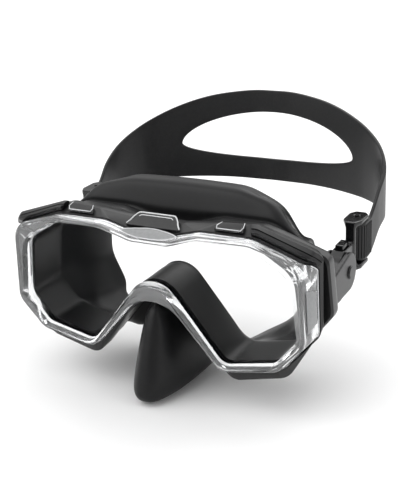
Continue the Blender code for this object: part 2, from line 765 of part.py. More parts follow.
def build_buttons(material):
    """Release buttons in the tongues, with raised bars across their tops."""
    body = box_mesh(
        "button",
        (-BUTTON_WIDTH / 2, -BUTTON_LENGTH / 2, 0),
        (BUTTON_WIDTH / 2, BUTTON_LENGTH / 2, BUTTON_HEIGHT),
        bevel=0.5 * MM,
    )
    bars = [
        box_mesh(
            "bar",
            (-BUTTON_WIDTH / 2 + 0.7 * MM, at * MM - 0.45 * MM, BUTTON_HEIGHT - 1 * MM),
            (BUTTON_WIDTH / 2 - 0.7 * MM, at * MM + 0.45 * MM, BUTTON_HEIGHT + 0.5 * MM),
        )
        for at in (-2.0, 0.0, 2.0)
    ]
    mesh = combined("button", body, bars, "UNION")
    place = pin_place() + Vector((0, BUTTON_AT, button_floor()))
    return add_pair("release_button", mesh, material, place)


def build_button_springs(material):
    """Coil springs under the release buttons."""
    steps = 12 * SPRING_TURNS
    tall = SPRING_LENGTH - 2 * SPRING_WIRE - GAP
    ring = np.radians(np.arange(0, 360, 60))
    sections = []
    for i in range(steps + 1):
        turn = 2 * math.pi * SPRING_TURNS * i / steps
        reach = SPRING_RADIUS + SPRING_WIRE * np.cos(ring)
        height = SPRING_WIRE + tall * i / steps + SPRING_WIRE * np.sin(ring)
        sections.append(np.stack([reach * math.cos(turn), reach * math.sin(turn), height], axis=1))
    place = pin_place() + Vector((0, BUTTON_AT, button_floor() - SPRING_LENGTH))
    return add_pair("button_spring", capped_mesh("spring", sections), material, place)


def smooth_path(stations, count):
    """Evenly spread rows along a smooth curve through the stations."""
    rows = np.array(stations, float)
    gaps = np.linalg.norm(np.diff(rows[:, :2], axis=0), axis=1)
    at = np.concatenate([[0], np.cumsum(gaps)])
    slope = np.gradient(rows, at, axis=0)
    where = np.linspace(0, at[-1], count)
    i = np.clip(np.searchsorted(at, where, side="right") - 1, 0, len(at) - 2)
    h = (at[i + 1] - at[i])[:, None]
    t = ((where - at[i])[:, None]) / h
    return (
        rows[i] * (2 * t**3 - 3 * t**2 + 1)
        + slope[i] * h * (t**3 - 2 * t**2 + t)
        + rows[i + 1] * (3 * t**2 - 2 * t**3)
        + slope[i + 1] * h * (t**3 - t**2)
    )


def strap_half():
    """Rows of x, y, low edge, high edge and outer thickness from the left tail to the rear middle."""
    roller = roller_place()
    reach = ROLLER_RADIUS + STRAP_CLEARANCE + STRAP_THICKNESS / 2
    low = roller.z - STRAP_END_WIDTH / 2
    high = roller.z + STRAP_END_WIDTH / 2
    rows = []
    ribs = int(TAIL_LENGTH / (2.2 * MM))
    for i in range(4 * ribs):
        share = 1 - i / (4 * ribs)
        thick = STRAP_RIB if i % 4 in (1, 2) else 0.0
        inward = 0.7 * MM * share
        rows.append((roller.x - reach - inward, roller.y + TAIL_LENGTH * share, low, high, thick))
    for i, turn in enumerate(np.radians(np.linspace(180, 360, 13))):
        thick = STRAP_RIB if i % 4 in (1, 2) else 0.0
        rows.append((roller.x + reach * math.cos(turn), roller.y + reach * math.sin(turn), low, high, thick))
    reach_x = roller.x + reach
    stations = [
        (reach_x, roller.y, low, high),
        (reach_x, roller.y + 6.5 * MM, low + 0.3 * MM, high + 0.2 * MM),
        (reach_x + 0.5 * MM, LENS_Y + 86 * MM, low + 9.0 * MM, high + 10.2 * MM),
        (STRAP_HALF_WIDTH - 2.5 * MM, LENS_Y + 98 * MM, 8.2 * MM, 32.6 * MM),
        (STRAP_HALF_WIDTH - 9 * MM, LENS_Y + 110.6 * MM, 8.6 * MM, 40.2 * MM),
        (STRAP_HALF_WIDTH - 19 * MM, LENS_Y + 119.8 * MM, 8.8 * MM, 46.5 * MM),
        (STRAP_HALF_WIDTH - 31 * MM, LENS_Y + 126.5 * MM, 8.8 * MM, 51.7 * MM),
        (STRAP_HALF_WIDTH - 44 * MM, LENS_Y + 132 * MM, 8.6 * MM, 55.5 * MM),
        (STRAP_HALF_WIDTH - 57 * MM, LENS_Y + 136 * MM, 8.2 * MM, 57.6 * MM),
        (STRAP_HALF_WIDTH - 70 * MM, LENS_Y + STRAP_REACH - 0.4 * MM, STRAP_REAR_LOW, STRAP_REAR_TOP),
        (0.0, LENS_Y + STRAP_REACH, STRAP_REAR_LOW, STRAP_REAR_TOP),
    ]
    return rows, smooth_path(stations, 40)[1:]


def build_strap(material):
    """Head strap with ribbed ends round both rollers and a long split at the back."""
    ends, band = strap_half()
    left = [(*row, 0.0) for row in band]
    half = np.array(ends + [tuple(row) for row in left])
    rows = np.vstack([half, (half * [-1, 1, 1, 1, 1])[-2::-1]])
    along = np.gradient(rows[:, :2], axis=0)
    along /= np.linalg.norm(along, axis=1)[:, None]
    out = np.stack([along[:, 1], -along[:, 0]], axis=1)
    sections = []
    for (x, y, low, high, rib), (ox, oy) in zip(rows, out):
        inner = np.array([x - ox * STRAP_THICKNESS / 2, y - oy * STRAP_THICKNESS / 2])
        wide = STRAP_THICKNESS / 2 + rib
        outer = np.array([x + ox * wide, y + oy * wide])
        soft = 0.5 * MM
        sections.append(np.array([
            (*inner, low),
            (*inner, high),
            (*outer, high - soft),
            (*outer, low + soft),
        ]))
    body = capped_mesh("band", sections)
    turn = np.linspace(0, 2 * math.pi, 48, endpoint=False)
    across = np.sign(np.cos(turn)) * np.abs(np.cos(turn)) ** 1.02
    tall = np.where(np.sin(turn) > 0, SPLIT_ABOVE, SPLIT_BELOW) * np.sign(np.sin(turn))
    tall = tall * np.abs(np.sin(turn)) ** 1.12
    hole = [(SPLIT_HALF_LENGTH * a, SPLIT_LEVEL + t) for a, t in zip(across, tall)]
    depth = (LENS_Y + 100 * MM, LENS_Y + STRAP_REACH + 20 * MM)
    cutter = capped_mesh("split", [np.array([(x, y, z) for x, z in hole]) for y in depth])
    return add_object("strap", combined("strap", body, [cutter], "DIFFERENCE"), material)


def build_all():
    """Clears the scene and builds every piece in its resting place."""
    for item in list(bpy.data.objects):
        bpy.data.objects.remove(item, do_unlink=True)
    clear = add_material("clear_plastic", (0.86, 0.88, 0.90), 0.08, 0.45)
    glass = add_material("tempered_glass", (0.93, 0.96, 0.97), 0.02, 0.3)
    black = add_material("black_plastic", (0.012, 0.012, 0.013), 0.42)
    gloss = add_material("gloss_black", (0.014, 0.014, 0.015), 0.2)
    silicone = add_material("black_silicone", (0.016, 0.016, 0.017), 0.5)
    webbing = add_material("strap_silicone", (0.018, 0.018, 0.019), 0.52)
    steel = add_material("stainless_steel", (0.6, 0.6, 0.6), 0.3)
    build_bezel(clear)
    build_brow_tab(clear)
    build_lens(glass)
    build_main_frame(black)
    build_corner_covers(gloss)
    build_brow_latches(gloss)
    build_rear_frame(black)
    build_skirt(silicone)
    build_ears(black)
    build_swivel_pins(steel)
    build_buckles(gloss)
    build_rollers(black)
    build_roller_pins(steel)
    build_buttons(black)
    build_button_springs(steel)
    build_strap(webbing)


build_all()
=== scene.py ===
import math

import bmesh
import bpy
import numpy as np
from mathutils import Matrix, Vector


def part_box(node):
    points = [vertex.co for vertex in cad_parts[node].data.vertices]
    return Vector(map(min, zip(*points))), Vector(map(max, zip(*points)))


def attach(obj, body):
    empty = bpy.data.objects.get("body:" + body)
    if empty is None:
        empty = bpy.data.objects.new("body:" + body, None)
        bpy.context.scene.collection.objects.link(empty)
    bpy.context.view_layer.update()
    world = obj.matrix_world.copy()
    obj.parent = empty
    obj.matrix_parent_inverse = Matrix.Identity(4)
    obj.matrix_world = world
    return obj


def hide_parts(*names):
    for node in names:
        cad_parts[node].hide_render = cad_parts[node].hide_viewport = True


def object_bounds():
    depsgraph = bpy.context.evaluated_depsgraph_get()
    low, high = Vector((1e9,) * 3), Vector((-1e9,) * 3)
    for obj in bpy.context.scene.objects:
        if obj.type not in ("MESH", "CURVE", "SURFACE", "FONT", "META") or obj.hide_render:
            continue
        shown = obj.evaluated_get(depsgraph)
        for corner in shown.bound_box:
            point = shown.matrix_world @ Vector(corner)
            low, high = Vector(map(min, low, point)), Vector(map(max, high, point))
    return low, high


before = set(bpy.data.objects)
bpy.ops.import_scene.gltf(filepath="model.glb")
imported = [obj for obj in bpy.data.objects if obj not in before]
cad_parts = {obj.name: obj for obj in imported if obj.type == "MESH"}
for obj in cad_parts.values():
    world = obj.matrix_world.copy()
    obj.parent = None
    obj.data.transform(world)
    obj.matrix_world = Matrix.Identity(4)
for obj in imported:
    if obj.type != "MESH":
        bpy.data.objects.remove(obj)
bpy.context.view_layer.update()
MM = 0.001

# ---------------------------------------------------------------------------------------------
# Front bezel. One clear polycarbonate moulding that clips over the lens: a bevelled lip round the
# window, a flat land that widens into a crescent over the nose, and a flared wall down each side.
# It is injection moulded and polished, so its edges are only slightly rounded.
# ---------------------------------------------------------------------------------------------
LENS_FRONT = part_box("glass_lens")[0].y
CORNER_STEPS = 10

window = np.array([
    [8.0, 17.6, 14.0], [24.0, 22.6, 16.0], [50.0, 22.6, 12.0], [67.5, 11.6, 10.0],
    [70.5, -17.5, 7.0], [60.0, -29.8, 7.0], [34.5, -35.2, 6.0], [0.0, 8.3, 13.8],
])
bezel_front = window + [
    [0, 3.7, 0], [0, 3.2, 0], [0, 4.0, 2], [6.3, 8.2, 1],
    [4.8, -1.1, 1], [2.2, -3.0, 1], [-0.6, -3.0, 1], [0, -7.3, 5.4],
]
bezel_rear = window + [
    [0, 4.2, 0], [0, 3.6, 0], [0, 3.6, 0], [8.8, 5.2, -5],
    [6.4, 0.0, 0], [2.7, -3.8, 1], [-0.4, -3.9, 1], [0, -8.0, 5.4],
]


def outline(half, offset=0.0):
    """A closed line in x and z through filleted corners, moved out by an offset, in millimetres.

    Each corner is an arc tangent to its two sides: centre = corner moved along both sides by
    radius * tan(turn / 2). The left half repeats the right half with x turned over.
    """
    corners = np.vstack([half, (half * [-1, 1, 1])[-2::-1]])
    ahead = np.roll(corners[:, :2], -1, axis=0) - corners[:, :2]
    ahead /= np.linalg.norm(ahead, axis=1)[:, None]
    back = np.roll(ahead, 1, axis=0)
    out_ahead = np.stack([-ahead[:, 1], ahead[:, 0]], axis=1)
    out_back = np.roll(out_ahead, 1, axis=0)
    turn = np.arctan2(
        back[:, 0] * ahead[:, 1] - back[:, 1] * ahead[:, 0], (back * ahead).sum(axis=1)
    )
    mitre = (out_ahead + out_back) / (1 + (out_ahead * out_back).sum(axis=1))[:, None]
    place = corners[:, :2] + offset * mitre
    radius = np.maximum(corners[:, 2] - np.copysign(offset, turn), 0.3)
    first = place - back * (radius * np.abs(np.tan(turn / 2)))[:, None]
    centre = first + np.copysign(radius, turn)[:, None] * np.stack([-back[:, 1], back[:, 0]], axis=1)
    angle = turn[:, None] * np.linspace(0, 1, CORNER_STEPS + 1)
    arm = (first - centre)[:, None, :]
    x = arm[..., 0] * np.cos(angle) - arm[..., 1] * np.sin(angle)
    z = arm[..., 0] * np.sin(angle) + arm[..., 1] * np.cos(angle)
    return (centre[:, None, :] + np.stack([x, z], axis=2)).reshape(-1, 2)


def corner_values(pairs):
    """A value at each outline point, going straight from a start to an end value at each corner."""
    pairs = np.array(pairs, float)
    pairs = np.vstack([pairs, pairs[-2::-1, ::-1]])
    share = np.linspace(0, 1, CORNER_STEPS + 1)
    return (pairs[:, :1] + (pairs[:, 1:] - pairs[:, :1]) * share).reshape(-1)


def loop_at(line, depth):
    """The outline as points in metres, at a depth in millimetres behind the lens's front face."""
    depth = np.broadcast_to(depth, (len(line),))
    return np.stack([line[:, 0] * MM, LENS_FRONT + depth * MM, line[:, 1] * MM], axis=1)


def grid_faces(rows, columns, close_rows, close_columns):
    """Quads between neighbouring points of a grid numbered row by row."""
    i, j = np.meshgrid(
        np.arange(rows if close_rows else rows - 1),
        np.arange(columns if close_columns else columns - 1),
        indexing="ij",
    )
    down, right = (i + 1) % rows, (j + 1) % columns
    quads = np.stack([
        i * columns + j, down * columns + j, down * columns + right, i * columns + right,
    ], axis=2)
    return quads.reshape(-1, 4)


def make_piece(name, points, faces, material, angle=32.0, bevel=0.0, segments=2, merge=True):
    """A mesh object with its doubles merged and its faces pointing out, smooth below an angle."""
    mesh = bpy.data.meshes.new(name)
    faces = faces.tolist() if isinstance(faces, np.ndarray) else faces
    mesh.from_pydata(np.asarray(points).tolist(), [], faces)
    work = bmesh.new()
    work.from_mesh(mesh)
    if merge:
        bmesh.ops.remove_doubles(work, verts=work.verts, dist=1e-6)
    bmesh.ops.recalc_face_normals(work, faces=work.faces)
    work.to_mesh(mesh)
    work.free()
    mesh.materials.append(material)
    mesh.shade_smooth()
    mesh.set_sharp_from_angle(angle=math.radians(angle))
    made = bpy.data.objects.new(name, mesh)
    bpy.context.scene.collection.objects.link(made)
    if bevel:
        add_bevel(made, bevel, segments)
    return made


def add_bevel(piece, width, segments=2):
    """A rounded edge wherever two faces meet at more than 28 degrees."""
    rounding = piece.modifiers.new("rounding", "BEVEL")
    rounding.width = width
    rounding.segments = segments
    rounding.limit_method = "ANGLE"
    rounding.angle_limit = math.radians(28)
    rounding.use_clamp_overlap = True


def new_material(name):
    """A material with its Principled shader and node tree."""
    material = bpy.data.materials.new(name)
    material.use_nodes = True
    return material, material.node_tree, material.node_tree.nodes["Principled BSDF"]


def add_grain(tree, shader, scale, low, high, relief, detail=4.0, stretch=(1, 1, 1)):
    """Noise on Object coordinates that varies the roughness and raises a fine relief."""
    place = tree.nodes.new("ShaderNodeTexCoord")
    turn = tree.nodes.new("ShaderNodeMapping")
    turn.inputs["Scale"].default_value = stretch
    noise = tree.nodes.new("ShaderNodeTexNoise")
    noise.inputs["Scale"].default_value = scale
    noise.inputs["Detail"].default_value = detail
    span = tree.nodes.new("ShaderNodeMapRange")
    span.inputs["To Min"].default_value = low
    span.inputs["To Max"].default_value = high
    bump = tree.nodes.new("ShaderNodeBump")
    bump.inputs["Strength"].default_value = relief
    bump.inputs["Distance"].default_value = 0.0002
    tree.links.new(place.outputs["Object"], turn.inputs["Vector"])
    tree.links.new(turn.outputs["Vector"], noise.inputs["Vector"])
    tree.links.new(noise.outputs["Fac"], span.inputs["Value"])
    tree.links.new(span.outputs["Result"], shader.inputs["Roughness"])
    tree.links.new(noise.outputs["Fac"], bump.inputs["Height"])
    tree.links.new(bump.outputs["Normal"], shader.inputs["Normal"])
    return noise


def add_tint(tree, shader, noise, dark, light):
    """Colour that drifts between two close shades with a noise."""
    ramp = tree.nodes.new("ShaderNodeValToRGB")
    ramp.color_ramp.elements[0].position = 0.35
    ramp.color_ramp.elements[1].position = 0.7
    ramp.color_ramp.elements[0].color = (*dark, 1)
    ramp.color_ramp.elements[1].color = (*light, 1)
    tree.links.new(noise.outputs["Fac"], ramp.inputs["Fac"])
    tree.links.new(ramp.outputs["Color"], shader.inputs["Base Color"])


clear_plastic, tree, shader = new_material("clear_polycarbonate")
shader.inputs["Transmission Weight"].default_value = 0.92
shader.inputs["IOR"].default_value = 1.5
noise = add_grain(tree, shader, 260, 0.03, 0.08, 0.03)
add_tint(tree, shader, noise, (0.93, 0.94, 0.95), (0.97, 0.975, 0.98))

TOP_DEPTH = 1.0
SIDE_DEPTH = 8.5
bezel_depth = corner_values([
    (TOP_DEPTH, TOP_DEPTH), (TOP_DEPTH, TOP_DEPTH), (TOP_DEPTH, TOP_DEPTH), (TOP_DEPTH, SIDE_DEPTH),
    (SIDE_DEPTH, SIDE_DEPTH), (TOP_DEPTH, TOP_DEPTH), (TOP_DEPTH, TOP_DEPTH), (TOP_DEPTH, TOP_DEPTH),
])
LENS_POCKET = 2.4
LIP_BACK, LIP_MIDDLE, LAND_FRONT, STEP_FRONT, WALL_FRONT = -0.35, -2.3, -4.55, -4.0, -3.4
bezel_rings = np.stack([
    loop_at(outline(window, 0.05), LIP_BACK),
    loop_at(outline(window, 0.4), LIP_MIDDLE),
    loop_at(outline(window, 1.5), LAND_FRONT),
    loop_at(outline(bezel_front, -1.9), LAND_FRONT),
    loop_at(outline(bezel_front, -1.5), STEP_FRONT),
    loop_at(outline(bezel_front, -0.7), STEP_FRONT),
    loop_at(outline(bezel_front, -0.1), WALL_FRONT),
    loop_at(outline(bezel_rear, -0.1), bezel_depth - 0.05),
    loop_at(outline(window, LENS_POCKET), bezel_depth - 0.05),
    loop_at(outline(window, LENS_POCKET), LIP_BACK),
])
bezel = make_piece(
    "clear_bezel", bezel_rings.reshape(-1, 3),
    grid_faces(len(bezel_rings), bezel_rings.shape[1], True, True), clear_plastic, bevel=0.22 * MM,
)
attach(bezel, "mask")
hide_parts("front_bezel")

frosted_plastic, tree, shader = new_material("frosted_panel")
shader.inputs["Transmission Weight"].default_value = 0.25
noise = add_grain(tree, shader, 900, 0.28, 0.4, 0.06)
add_tint(tree, shader, noise, (0.30, 0.305, 0.31), (0.36, 0.365, 0.37))


def wall_panel(name, low_z, high_z, slant, first, last, proud):
    """A raised panel on the bezel's flared side wall, as four borders stepping in from its edge.

    The wall's surface at a share t of its depth is front edge * (1 - t) + rear edge * t. The panel
    covers shares first to last, its ends slanting, and each border is a loop of four points.
    """
    front_line = loop_at(outline(bezel_front, 0.0), -3.5)
    rear_line = loop_at(outline(bezel_rear, 0.0), bezel_depth)
    span = np.array([4, 5]) * (CORNER_STEPS + 1)
    front_pair = front_line[[span[0] - 1, span[1] - CORNER_STEPS - 1]]
    rear_pair = rear_line[[span[0] - 1, span[1] - CORNER_STEPS - 1]]
    inset = np.array([0.0, 0.0, 0.9, 1.3])[:, None]
    lift = np.array([0.05, proud * 0.6, proud * 0.6, proud])[:, None] * MM
    share = np.array([first, last, last, first])
    height = np.array([high_z, high_z - slant, low_z + slant, low_z])
    toward = np.array([[1, -1], [-1, -1], [-1, 1], [1, 1]])
    shares = share + inset * toward[:, 0] * 0.09
    heights = (height + inset * toward[:, 1]) * MM
    front_x = np.interp(heights, front_pair[::-1, 2], front_pair[::-1, 0])
    rear_x = np.interp(heights, rear_pair[::-1, 2], rear_pair[::-1, 0])
    front_y, rear_y = front_pair[0, 1], rear_pair[0, 1]
    x = front_x * (1 - shares) + rear_x * shares
    y = front_y * (1 - shares) + rear_y * shares
    out = np.stack([rear_y - front_y + 0 * x, front_x - rear_x], axis=2)
    out /= np.linalg.norm(out, axis=2)[..., None]
    points = np.stack([x + out[..., 0] * lift, y + out[..., 1] * lift, heights], axis=2)
    faces = np.vstack([grid_faces(4, 4, False, True), [[12, 13, 14, 15]], [[3, 2, 1, 0]]])
    panel = points.reshape(-1, 3)
    both = np.vstack([panel, panel * [-1, 1, 1]])
    both_faces = np.vstack([faces, faces[:, ::-1] + len(panel)])
    made = make_piece(name, both, both_faces, frosted_plastic, bevel=0.12 * MM)
    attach(made, "mask")


wall_panel("side_panels", low_z=-13.0, high_z=6.5, slant=2.2, first=0.2, last=0.86, proud=0.5)


BEAD_SIDES = 8


def bead_mesh(path, radius):
    """A round bead carried along a path: path + radius * (cos a * side + sin a * lift).

    The side is square to the path and as level as it can be, and the lift is square to both. Both
    ends are closed by one flat face.
    """
    path = np.asarray(path, float)
    along = np.gradient(path, axis=0)
    along /= np.linalg.norm(along, axis=1)[:, None]
    side = np.cross(along, [0.13, -0.97, 0.2])
    side /= np.linalg.norm(side, axis=1)[:, None]
    lift = np.cross(side, along)
    turn = (np.arange(BEAD_SIDES) * 2 * math.pi / BEAD_SIDES)[None, :, None]
    ring = np.cos(turn) * side[:, None, :] + np.sin(turn) * lift[:, None, :]
    points = (path[:, None, :] + radius * ring).reshape(-1, 3)
    faces = grid_faces(len(path), BEAD_SIDES, False, True).tolist()
    last = (len(path) - 1) * BEAD_SIDES
    ends = [list(range(BEAD_SIDES)), list(range(last + BEAD_SIDES - 1, last - 1, -1))]
    return points, faces + ends


def make_beads(name, paths, radius, material, body="mask"):
    """Several beads and their mirror images as one piece."""
    points, faces, count = [], [], 0
    for path in paths:
        for sign in (1, -1):
            ring_points, ring_faces = bead_mesh(np.asarray(path) * [sign, 1, 1], radius)
            points.append(ring_points)
            faces += [[corner + count for corner in face] for face in ring_faces]
            count += len(ring_points)
    made = make_piece(name, np.vstack(points), faces, material, angle=50, merge=False)
    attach(made, body)
    return made


# Light grey beads laid along edges of the clear parts below: painted highlight lines, standing for the
# bright reflections those edges give.
painted_highlight, tree, shader = new_material("painted_edge_highlight")
shader.inputs["Transmission Weight"].default_value = 0.2
noise = add_grain(tree, shader, 400, 0.05, 0.12, 0.02)
add_tint(tree, shader, noise, (0.72, 0.73, 0.74), (0.86, 0.87, 0.88))

# A painted highlight line along the rear edge of each side wall.
SIDE_FIRST, SIDE_LAST = 3 * (CORNER_STEPS + 1) + 4, 5 * (CORNER_STEPS + 1) - 4
seam = loop_at(outline(bezel_rear, 0.1), bezel_depth - 0.35)[SIDE_FIRST:SIDE_LAST]
make_beads("side_seam_line", [seam], 0.28 * MM, painted_highlight)

# Near-black beads along the lower land where the gate slits open: painted shade standing for the dark
# openings.
painted_slit_shade, tree, shader = new_material("painted_slit_shade")
noise = add_grain(tree, shader, 800, 0.5, 0.6, 0.02)
add_tint(tree, shader, noise, (0.003, 0.003, 0.003), (0.006, 0.006, 0.006))

lower_land = loop_at(outline(window, 1.95), -4.5)
corner_a, corner_b = lower_land[6 * (CORNER_STEPS + 1) - 1], lower_land[6 * (CORNER_STEPS + 1)]
slit_share = np.linspace(0.03, 0.36, 6)[:, None]
make_beads("gate_slits", [corner_a + (corner_b - corner_a) * slit_share], 0.3 * MM, painted_slit_shade)

# ---------------------------------------------------------------------------------------------
# Lens. One flat plate of tempered glass, ground round its edge and dropped into the frame's
# pocket. It keeps its own shape and only takes a clean glass finish.
# ---------------------------------------------------------------------------------------------
lens_glass, tree, shader = new_material("tempered_lens_glass")
shader.inputs["Alpha"].default_value = 0.02
shader.inputs["IOR"].default_value = 1.5
shader.inputs["Specular IOR Level"].default_value = 0.3
noise = add_grain(tree, shader, 40, 0.03, 0.06, 0.01)
add_tint(tree, shader, noise, (0.05, 0.055, 0.055), (0.07, 0.075, 0.075))
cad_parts["glass_lens"].material_slots[0].material = lens_glass

# ---------------------------------------------------------------------------------------------
# Main frame. The black ring behind the bezel, in glass-filled nylon with a satin skin. Its front
# slopes back into two brow rails above and stays narrow at the sides, and a lower lip shows below.
# ---------------------------------------------------------------------------------------------
black_nylon, tree, shader = new_material("satin_black_nylon")
shader.inputs["Specular IOR Level"].default_value = 0.42
noise = add_grain(tree, shader, 1600, 0.27, 0.38, 0.10)
add_tint(tree, shader, noise, (0.004, 0.004, 0.0045), (0.008, 0.008, 0.0085))

main_edge = window + [
    [5, 9.4, 0], [6, 6.4, 0], [-2.5, 7.6, -4], [10.6, 9.0, -5],
    [7.7, 3.3, -1], [4.2, -8.8, 2], [1.6, -10.4, 1], [0, -6.3, 6.2],
]
main_waist = window + [
    [5, 6.6, 0], [6, 4.2, 0], [-3.5, 5.4, -4], [8.4, 7.0, -5],
    [5.6, 3.0, -1], [2.6, -6.4, 2], [1.2, -8.2, 1], [0, -6.2, 6.0],
]
RAIL, EDGE, LOWER = 5.4, 1.4, 2.6
MAIN_REAR = 15.3
FRAME_BORE = 2.35
front_gap = corner_values([
    (0.5, 0.5), (0.5, 0.5), (0.5, 1.4), (1.4, 0.5), (0.5, 1.4), (1.4, 0.5), (0.5, 0.5), (0.5, 0.5),
])
rail_depth = corner_values([
    (RAIL, RAIL), (RAIL, RAIL), (RAIL, RAIL), (RAIL, EDGE),
    (EDGE, EDGE), (LOWER, LOWER), (LOWER, LOWER), (LOWER, LOWER),
])
main_front = bezel_depth + front_gap
main_rings = np.stack([
    loop_at(outline(window, FRAME_BORE), main_front),
    loop_at(outline(bezel_rear), main_front),
    loop_at(outline(bezel_rear, 0.7), main_front),
    loop_at(outline(main_edge, -0.05), main_front + rail_depth),
    loop_at(outline(main_edge, -0.4), MAIN_REAR - 3.6),
    loop_at(outline(main_waist), MAIN_REAR),
    loop_at(outline(window, FRAME_BORE), MAIN_REAR),
])
main_frame = make_piece(
    "black_main_frame", main_rings.reshape(-1, 3),
    grid_faces(len(main_rings), main_rings.shape[1], True, True), black_nylon, bevel=0.7 * MM, segments=3,
)
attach(main_frame, "mask")
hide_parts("main_frame")

# ---------------------------------------------------------------------------------------------
# Rear frame. The second black ring, which clamps the skirt's sleeve and carries the forked arms.
# It shows as a rounded band outside a narrow groove at each side.
# ---------------------------------------------------------------------------------------------
rear_edge = window + [
    [1, 4.4, 0], [2, 4.2, 0], [-2, 3.9, -3], [11.0, 4.2, -5],
    [10.3, 6.5, -2], [1.6, -6.0, 2], [0.8, -6.6, 1], [0, -6.6, 4.2],
]
REAR_FACE = 24.0
REAR_START = MAIN_REAR + 0.35
rear_rings = np.stack([
    loop_at(outline(window, FRAME_BORE), REAR_START),
    loop_at(outline(rear_edge, -0.9), REAR_START),
    loop_at(outline(rear_edge, -0.05), MAIN_REAR + 1.4),
    loop_at(outline(rear_edge, -0.05), REAR_FACE - 3.0),
    loop_at(outline(rear_edge, -0.3), REAR_FACE - 1.4),
    loop_at(outline(rear_edge, -1.1), REAR_FACE - 0.05),
    loop_at(outline(window, FRAME_BORE), REAR_FACE - 0.05),
])
rear_frame = make_piece(
    "black_rear_frame", rear_rings.reshape(-1, 3),
    grid_faces(len(rear_rings), rear_rings.shape[1], True, True), black_nylon, bevel=0.6 * MM, segments=3,
)
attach(rear_frame, "mask")
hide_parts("rear_frame")

# ---------------------------------------------------------------------------------------------
# Brow tab. A small clear clip sunk in the middle of the black brow rail. The black behind it makes
# its face gloss black, and the bright line along its edge, with a shorter one inside, is a painted
# highlight in light grey beads.
# ---------------------------------------------------------------------------------------------
gloss_black, tree, shader = new_material("gloss_black_plastic")
shader.inputs["Specular IOR Level"].default_value = 0.5
noise = add_grain(tree, shader, 500, 0.14, 0.22, 0.05)
add_tint(tree, shader, noise, (0.003, 0.003, 0.0035), (0.006, 0.006, 0.0065))


def rounded_copy(node, name, material, width, body):
    """A node's own mesh, merged and freed of flat splits, with its edges rounded."""
    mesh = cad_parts[node].data.copy()
    mesh.name = name
    mesh.materials.clear()
    mesh.materials.append(material)
    work = bmesh.new()
    work.from_mesh(mesh)
    bmesh.ops.remove_doubles(work, verts=work.verts, dist=2e-6)
    bmesh.ops.dissolve_limit(
        work, angle_limit=math.radians(1), verts=work.verts, edges=work.edges,
        use_dissolve_boundaries=False,
    )
    work.to_mesh(mesh)
    work.free()
    mesh.shade_smooth()
    mesh.set_sharp_from_angle(angle=math.radians(32))
    made = bpy.data.objects.new(name, mesh)
    bpy.context.scene.collection.objects.link(made)
    add_bevel(made, width, 3)
    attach(made, body)
    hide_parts(node)


rounded_copy("brow_tab", "dark_brow_tab", gloss_black, 0.5 * MM, "mask")

TAB_HALF, TAB_RISE, TAB_LEAN, TAB_PROUD = 14.0, 4.6, 6.0, 0.95
TAB_BACK, TAB_LOW = 2.4, 24.4
slope = np.array([0.0, TAB_LEAN, TAB_RISE]) / math.hypot(TAB_LEAN, TAB_RISE)
tab_foot = np.array([0.0, LENS_FRONT / MM + TAB_BACK, TAB_LOW])
tab_lift = np.array([0.0, -slope[2], slope[1]])


def tab_line(inset, proud):
    """Half the tab's outline, from its lower corner up its side and over to the middle."""
    span = math.hypot(TAB_LEAN, TAB_RISE) - inset
    up = np.array([inset + 0.2, 0.35 * span, 0.62 * span, 0.86 * span, 0.98 * span, span, span, span])
    half = np.array([1.0, 0.90, 0.835, 0.75, 0.68, 0.6, 0.3, 0.0]) * TAB_HALF - inset * (up > 0)
    half[-1] = 0.0
    return (tab_foot + up[:, None] * slope + proud * tab_lift + half[:, None] * [1, 0, 0]) * MM


# Both outlines are painted highlight lines in light grey beads.
make_beads("tab_outline", [tab_line(0.35, TAB_PROUD)], 0.34 * MM, painted_highlight)
make_beads("tab_inner_line", [tab_line(1.7, TAB_PROUD)[3:]], 0.24 * MM, painted_highlight)

# ---------------------------------------------------------------------------------------------
# Leaf. A lens-shaped face of the clear bezel that rises from its top edge to the foot of the tab.
# Its rim carries light grey beads, a painted highlight along both its edges.
# ---------------------------------------------------------------------------------------------
LEAF_HALF, LEAF_BACK, LEAF_UP = 14.5, 5.6, 2.9
LEAF_COLUMNS, LEAF_ROWS = 41, 9
across = np.linspace(-1, 1, LEAF_COLUMNS)
rise = np.linspace(0, 1, LEAF_ROWS)
leaf_foot = np.interp(np.abs(across) * LEAF_HALF, [0, 6, 10, 14.5], [21.25, 21.35, 22.0, 23.3])
spread = (1 - across**2) ** 0.8
leaf_x = np.repeat((across * LEAF_HALF)[:, None], LEAF_ROWS, axis=1)
leaf_y = LENS_FRONT / MM - 3.4 + spread[:, None] * LEAF_BACK * rise + 1.2 * (1 - spread[:, None])
leaf_z = leaf_foot[:, None] + spread[:, None] * (LEAF_UP * rise + 0.5 * np.sin(math.pi * rise))
leaf_points = np.stack([leaf_x, leaf_y, leaf_z], axis=2)
leaf = make_piece(
    "brow_leaf", leaf_points.reshape(-1, 3) * MM,
    grid_faces(LEAF_COLUMNS, LEAF_ROWS, False, False), frosted_plastic,
)
leaf_wall = leaf.modifiers.new("wall", "SOLIDIFY")
leaf_wall.thickness = 0.5 * MM
leaf_wall.offset = 0.0
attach(leaf, "mask")
# The rim beads are a painted highlight along the leaf's two edges.
low_rim = leaf_points[LEAF_COLUMNS // 2:, 0] * MM + [0, -0.0002, 0.0002]
high_rim = leaf_points[LEAF_COLUMNS // 2:, -1] * MM + [0, -0.0003, 0.0002]
make_beads("leaf_rim", [low_rim, high_rim], 0.28 * MM, painted_highlight)

# ---------------------------------------------------------------------------------------------
# Corner covers and latches. Black mouldings that follow the sloping rail: each cover has a front
# face, a fine groove and a wide top, and each latch is a trapezoid with a clear clip round it. The
# clip shows only as a light grey bead, a painted highlight along its edge.
# ---------------------------------------------------------------------------------------------
rail_low = loop_at(outline(bezel_rear, 0.7), main_front)
rail_high = loop_at(outline(main_edge), main_front + rail_depth)


